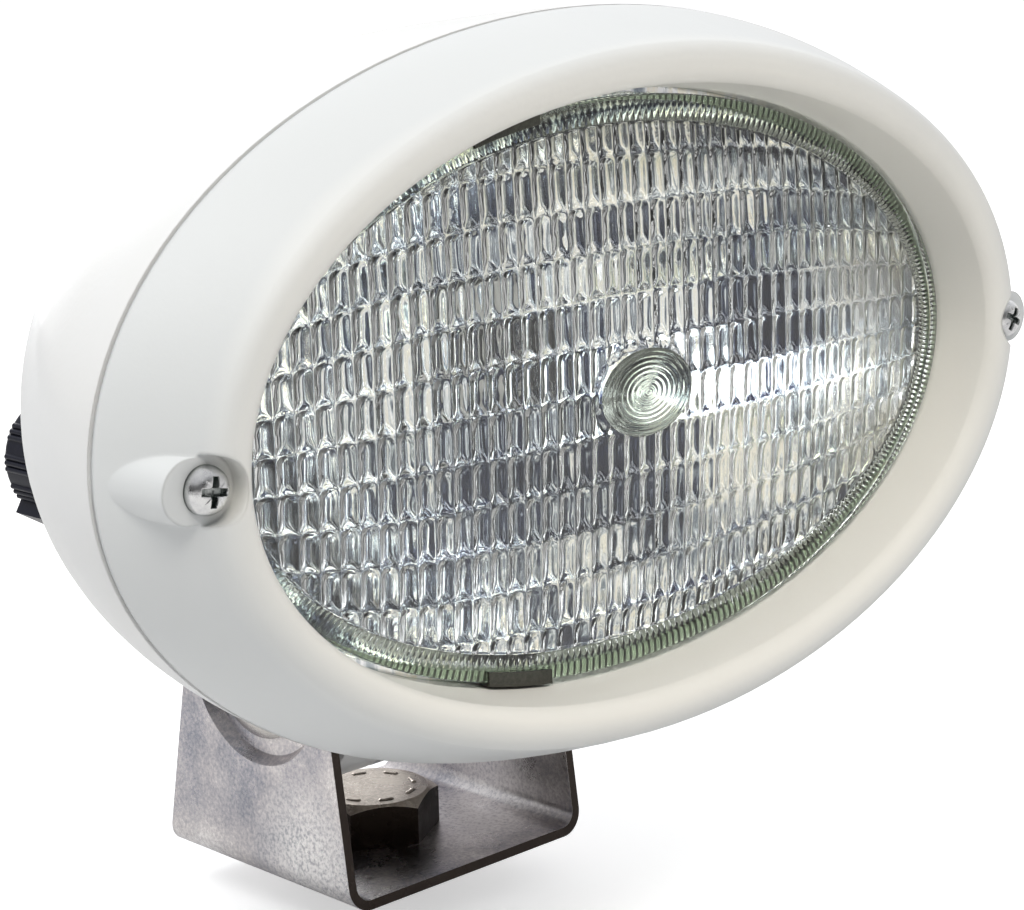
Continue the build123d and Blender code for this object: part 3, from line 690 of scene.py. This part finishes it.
SCREW_HEIGHT = 2.3 * MM
SCREW_ROUND = 1.6 * MM
SCREW_SHANK = 1.5 * MM
SCREW_CROWN = 0.12
RECESS_DEPTH = 1.45 * MM
RECESS_ARM = 1.85 * MM
RECESS_HALF_WIDTH = 0.5 * MM
RECESS_TAPER = 0.2
RECESS_FLOOR_RISE = 0.35
RECESS_MIDDLE = 0.75 * MM
RECESS_CORNER_CUT = 0.35
RECESS_BLUR = 0.12 * MM
TICK_START = 0.8 * MM
TICK_END = 1.9 * MM
TICK_HALF_WIDTH = 0.09 * MM
TICK_BLUR = 0.08 * MM
TICK_DEPTH = 0.06 * MM
SCREW_COLUMNS = 193
SCREW_ROWS = 70
SCREW_ROW_CROWDING = 0.8

# Turn of each screw's cross from upright, in radians
SCREW_TURNS = {"left": -0.15, "right": 1.1}


def recess_share(x, y):
    """Share of the full recess depth at a place.

    Four tapering arms with sloping floors meet in a full-depth middle with cut corners.
    """
    recess = np.zeros_like(x)
    for along, beside in ((np.abs(x), np.abs(y)), (np.abs(y), np.abs(x))):
        half_width = RECESS_HALF_WIDTH * (1 - RECESS_TAPER * along / RECESS_ARM)
        inside = soft_step((half_width - beside) / RECESS_BLUR + 0.5)
        inside = inside * soft_step((RECESS_ARM - along) / RECESS_BLUR + 0.5)
        recess = np.maximum(recess, inside * (1 - RECESS_FLOOR_RISE * along / RECESS_ARM))
    longer, shorter = np.maximum(np.abs(x), np.abs(y)), np.minimum(np.abs(x), np.abs(y))
    corner = longer + RECESS_CORNER_CUT * shorter
    return np.maximum(recess, soft_step((RECESS_MIDDLE - corner) / RECESS_BLUR + 0.5))


def screw_head_height(radius, angle, head_radius, turn):
    """Height of a pan head at a radius and angle.

    A shallow crown with a rounded edge, less a cross recess, less four shallow ticks between
    its arms.
    """
    past = np.clip((radius - (head_radius - SCREW_ROUND)) / SCREW_ROUND, 0, 1)
    pan = SCREW_HEIGHT - SCREW_ROUND + SCREW_ROUND * np.sqrt(np.maximum(0, 1 - past ** 2))
    pan = pan - SCREW_CROWN * SCREW_HEIGHT * (radius / head_radius) ** 2
    x = radius * np.cos(angle - turn)
    y = radius * np.sin(angle - turn)
    recess = recess_share(x, y)
    diagonal = np.abs(np.abs(x) - np.abs(y)) / math.sqrt(2)
    tick = soft_step((TICK_HALF_WIDTH - diagonal) / TICK_BLUR + 0.5)
    tick = tick * (radius > TICK_START) * (radius < TICK_END)
    return pan - RECESS_DEPTH * recess - TICK_DEPTH * tick * (1 - recess)


def make_screw(label, centre_x, centre_z, head_radius, seat_y, end_y, turn):
    """One bezel screw: its head over the seat, and its shank down to its end."""
    angles = np.linspace(0, 2 * np.pi, SCREW_COLUMNS)
    rows = []
    for share in np.linspace(0, 1, SCREW_ROWS):
        out = math.sin(share * math.pi / 2) ** SCREW_ROW_CROWDING
        radius = np.full_like(angles, head_radius * out)
        rows.append((radius, screw_head_height(radius, angles, head_radius, turn)))
    end = seat_y - end_y
    for radius, height in ((head_radius, 0), (SCREW_SHANK, 0), (SCREW_SHANK, end), (0, end)):
        rows.append((np.full_like(angles, radius), np.full_like(angles, height)))
    grid = []
    for radius, height in rows:
        x = centre_x + radius * np.cos(angles)
        z = centre_z + radius * np.sin(angles)
        grid.append(np.stack([x, seat_y - height, z], axis=1))
    screw = object_from_grid(
        label + "_bezel_screw", np.array(grid), zinc_steel, "lamp_head", closed_around=False
    )
    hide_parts("bezel_screws")


def make_screws():
    """Both screws, one at each end of the CAD node's box."""
    low, high = (Vector(corner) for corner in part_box("bezel_screws"))
    head_radius = (high.z - low.z) / 2
    centre_z = (high.z + low.z) / 2
    seat_y = low.y + SCREW_HEIGHT
    centres = {"left": low.x + head_radius, "right": high.x - head_radius}
    for label, turn in SCREW_TURNS.items():
        make_screw(label, centres[label], centre_z, head_radius, seat_y, high.y, turn)


# Raised dashes on the head of the mounting bolt

BOLT_DASHES = 8
STEPS_PER_DASH = 32
DASH_RADIUS = 6.9 * MM
DASH_HALF_WIDTH = 0.55 * MM
DASH_RISE = 0.22 * MM
DASH_SINK = 0.3 * MM
DASH_REACH = 0.27
DASH_FADE = 0.07
DASH_ROWS = 9


def make_bolt_marks():
    """Eight raised dashes on the bolt head: a low ring that dips under the face between them."""
    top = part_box("mounting_bolt")[1][2]
    angles = np.linspace(0, 2 * np.pi, BOLT_DASHES * STEPS_PER_DASH + 1)
    from_middle = np.abs((angles * BOLT_DASHES / (2 * np.pi)) % 1 - 0.5)
    dash = soft_step((DASH_REACH - from_middle) / DASH_FADE)
    rows = []
    for across in np.linspace(-1, 1, DASH_ROWS):
        radius = DASH_RADIUS + DASH_HALF_WIDTH * across
        height = (DASH_RISE + DASH_SINK) * dash * (1 - across ** 4) - DASH_SINK
        rows.append((radius, top + height))
    for across in (1, -1):
        radius = DASH_RADIUS + DASH_HALF_WIDTH * across
        rows.append((radius, np.full_like(angles, top - 2 * DASH_SINK)))
    grid = [
        np.stack([radius * np.cos(angles), radius * np.sin(angles), height], axis=1)
        for radius, height in rows
    ]
    marks = object_from_grid("bolt_head_marks", np.array(grid), bolt_steel, "deck_bolt")


# Camera at the photograph's viewing angle, found from the parting line and the base

FOCAL_PIXELS = 2500.0
IMAGE_WIDTH = 1024.0
SENSOR_WIDTH = 36.0
EYE = Vector((-251.8, -295.4, 146.3)) * MM
HEADING = math.radians(44.0)
DOWN = math.radians(12.1)
ROLL = math.radians(-1.4)


def make_camera():
    """Camera from its heading east of +Y, its angle down and its roll."""
    forward = Vector(
        (
            math.sin(HEADING) * math.cos(DOWN),
            math.cos(HEADING) * math.cos(DOWN),
            -math.sin(DOWN),
        )
    )
    level_right = Vector((math.cos(HEADING), -math.sin(HEADING), 0))
    level_up = level_right.cross(forward)
    right = math.cos(ROLL) * level_right + math.sin(ROLL) * level_up
    up = -math.sin(ROLL) * level_right + math.cos(ROLL) * level_up
    data = bpy.data.cameras.new("camera")
    data.sensor_width = SENSOR_WIDTH
    data.sensor_fit = "HORIZONTAL"
    data.lens = FOCAL_PIXELS * SENSOR_WIDTH / IMAGE_WIDTH
    data.clip_start = 0.01
    data.clip_end = 20
    camera = bpy.data.objects.new("camera", data)
    camera.matrix_world = Matrix(
        (
            (right.x, up.x, -forward.x, EYE.x),
            (right.y, up.y, -forward.y, EYE.y),
            (right.z, up.z, -forward.z, EYE.z),
            (0, 0, 0, 1),
        )
    )
    bpy.context.scene.collection.objects.link(camera)
    bpy.context.scene.camera = camera


# Floor

FLOOR_HALF_SIZE = 6.0
FLOOR_GAP = 0.5 * MM
FLOOR_LIFT = 0.5
FLOOR_BOUNCE = (0.7, 0.7, 0.7)
FLOOR_SEEN = (0.85, 0.85, 0.85)


def make_floor():
    """Wide pale floor just under the bolt, lifted toward white for the camera; it takes a shadow.

    Light that bounces off it to the lamp comes from a darker floor.
    """
    height = cad_box[0][2] - FLOOR_GAP
    corners = [(-1, -1), (1, -1), (1, 1), (-1, 1)]
    points = [(FLOOR_HALF_SIZE * x, FLOOR_HALF_SIZE * y, height) for x, y in corners]
    mesh = bpy.data.meshes.new("floor")
    mesh.from_pydata(points, [], [(0, 1, 2, 3)])
    floor = bpy.data.objects.new("floor", mesh)
    bpy.context.scene.collection.objects.link(floor)
    material, tree, shader = new_material("floor_white")
    shader.inputs["Roughness"].default_value = 0.9
    shader.inputs["Specular IOR Level"].default_value = 0.0
    shader.inputs["Emission Color"].default_value = (1, 1, 1, 1)
    seen = add_node(tree, "ShaderNodeLightPath").outputs["Is Camera Ray"]
    tone = ramp(tree, seen, [(0.0, FLOOR_BOUNCE), (1.0, FLOOR_SEEN)])
    feed(tree, shader.inputs["Emission Strength"], spread(tree, seen, 0.0, FLOOR_LIFT))
    feed(tree, shader.inputs["Base Color"], tone)
    mesh.materials.append(material)


# World

SKY_LEVEL = 0.66
VIEWER_SIDE_SHADE = 0.97
FAR_SIDE_BOOST = 1.6
GLASS_SKY_LEVEL = 6.0
GLASS_SKY_WAVES = 2.6

# Sky from low to high
SKY_TONES = [
    (0.15, (0.80, 0.78, 0.75)),
    (0.4, (0.88, 0.89, 0.91)),
    (0.8, (0.97, 0.98, 1.0)),
]

# Patches of the room that is seen through the lens, from dark to bright
GLASS_SKY_TONES = [
    (0.42, (0.0, 0.0, 0.0)),
    (0.47, (0.03, 0.04, 0.07)),
    (0.50, (0.20, 0.19, 0.16)),
    (0.54, (0.42, 0.45, 0.46)),
    (0.60, (1.0, 1.0, 1.0)),
]


def studio_level(tree, direction, up):
    """Brightness of the studio: lifted behind the lamp, dark on the viewer's side when low."""
    viewer = (-math.sin(HEADING), -math.cos(HEADING), 0)
    toward_viewer = vector_number(tree, "DOT_PRODUCT", direction, viewer)
    viewer_side = spread(tree, toward_viewer, 0.0, VIEWER_SIDE_SHADE, 0.1, 0.5)
    near_horizon = spread(tree, up, 1.0, 0.0, 0.3, 0.7)
    shade = arithmetic(tree, "MULTIPLY", viewer_side, near_horizon)
    far_side = spread(tree, toward_viewer, 1.0, FAR_SIDE_BOOST, -0.2, -0.8)
    lit = arithmetic(tree, "MULTIPLY", arithmetic(tree, "SUBTRACT", 1.0, shade), far_side)
    return arithmetic(tree, "MULTIPLY", lit, SKY_LEVEL)


def make_world():
    """Bright studio: brightest behind the lamp, dark on the viewer's side near the horizon.

    Light that comes through the lens sees a patchy room instead, for its glints. The camera
    sees plain white.
    """
    world = bpy.data.worlds.new("world")
    bpy.context.scene.world = world
    world.use_nodes = True
    tree = world.node_tree
    direction = add_node(tree, "ShaderNodeTexCoord").outputs["Generated"]
    up = split_vector(tree, direction)["Z"]
    sky = ramp(tree, spread(tree, up, 0.0, 1.0, -0.2, 1.0), SKY_TONES)
    patches = noise(tree, direction, GLASS_SKY_WAVES, detail=3, roughness=0.6)
    room = ramp(tree, patches, GLASS_SKY_TONES)
    path = add_node(tree, "ShaderNodeLightPath").outputs
    through_glass = path["Is Transmission Ray"]
    level = studio_level(tree, direction, up)
    colour = blend(tree, through_glass, sky, room)
    strength = blend(tree, through_glass, level, GLASS_SKY_LEVEL, "FLOAT")
    background = tree.nodes["Background"]
    feed(tree, background.inputs["Color"], colour)
    feed(tree, background.inputs["Strength"], strength)
    white = add_node(tree, "ShaderNodeBackground", {"Color": (1, 1, 1, 1), "Strength": 1.0})
    shaders = {
        0: path["Is Camera Ray"],
        1: background.outputs["Background"],
        2: white.outputs["Background"],
    }
    mix = add_node(tree, "ShaderNodeMixShader", shaders)
    feed(tree, tree.nodes["World Output"].inputs["Surface"], mix.outputs["Shader"])


# Lamps

def area_lamp(name, place, target, size, power, colour=(1, 1, 1), mirrored=True):
    """Square soft lamp turned to a target; one that isn't mirrored lights matt surfaces only."""
    data = bpy.data.lights.new(name, "AREA")
    data.size = size
    data.energy = power
    data.color = colour
    lamp = bpy.data.objects.new(name, data)
    lamp.location = place
    lamp.rotation_mode = "QUATERNION"
    lamp.rotation_quaternion = (Vector(target) - Vector(place)).to_track_quat("-Z", "Y")
    lamp.visible_glossy = mirrored
    lamp.visible_transmission = mirrored
    bpy.context.scene.collection.objects.link(lamp)


def make_lamps():
    """Cool lamp from above, warm lamp from the front, and a small one that lights the bracket."""
    cool, warm = (0.97, 0.99, 1.0), (1.0, 0.95, 0.86)
    area_lamp("top_lamp", (-0.75, 0.25, 1.4), bezel_middle, 0.9, 9.0, cool, mirrored=False)
    area_lamp("front_lamp", (-0.6, -0.9, 1.5), bezel_middle, 0.8, 14.0, warm, mirrored=False)
    area_lamp("back_lamp", (0.6, 1.3, 0.28), bracket_low, 0.5, 4.0)


make_lens()
make_ring_patch()
make_screws()
make_bolt_marks()
make_camera()
make_floor()
make_world()
make_lamps()
bpy.context.scene.view_settings.view_transform = "Standard"
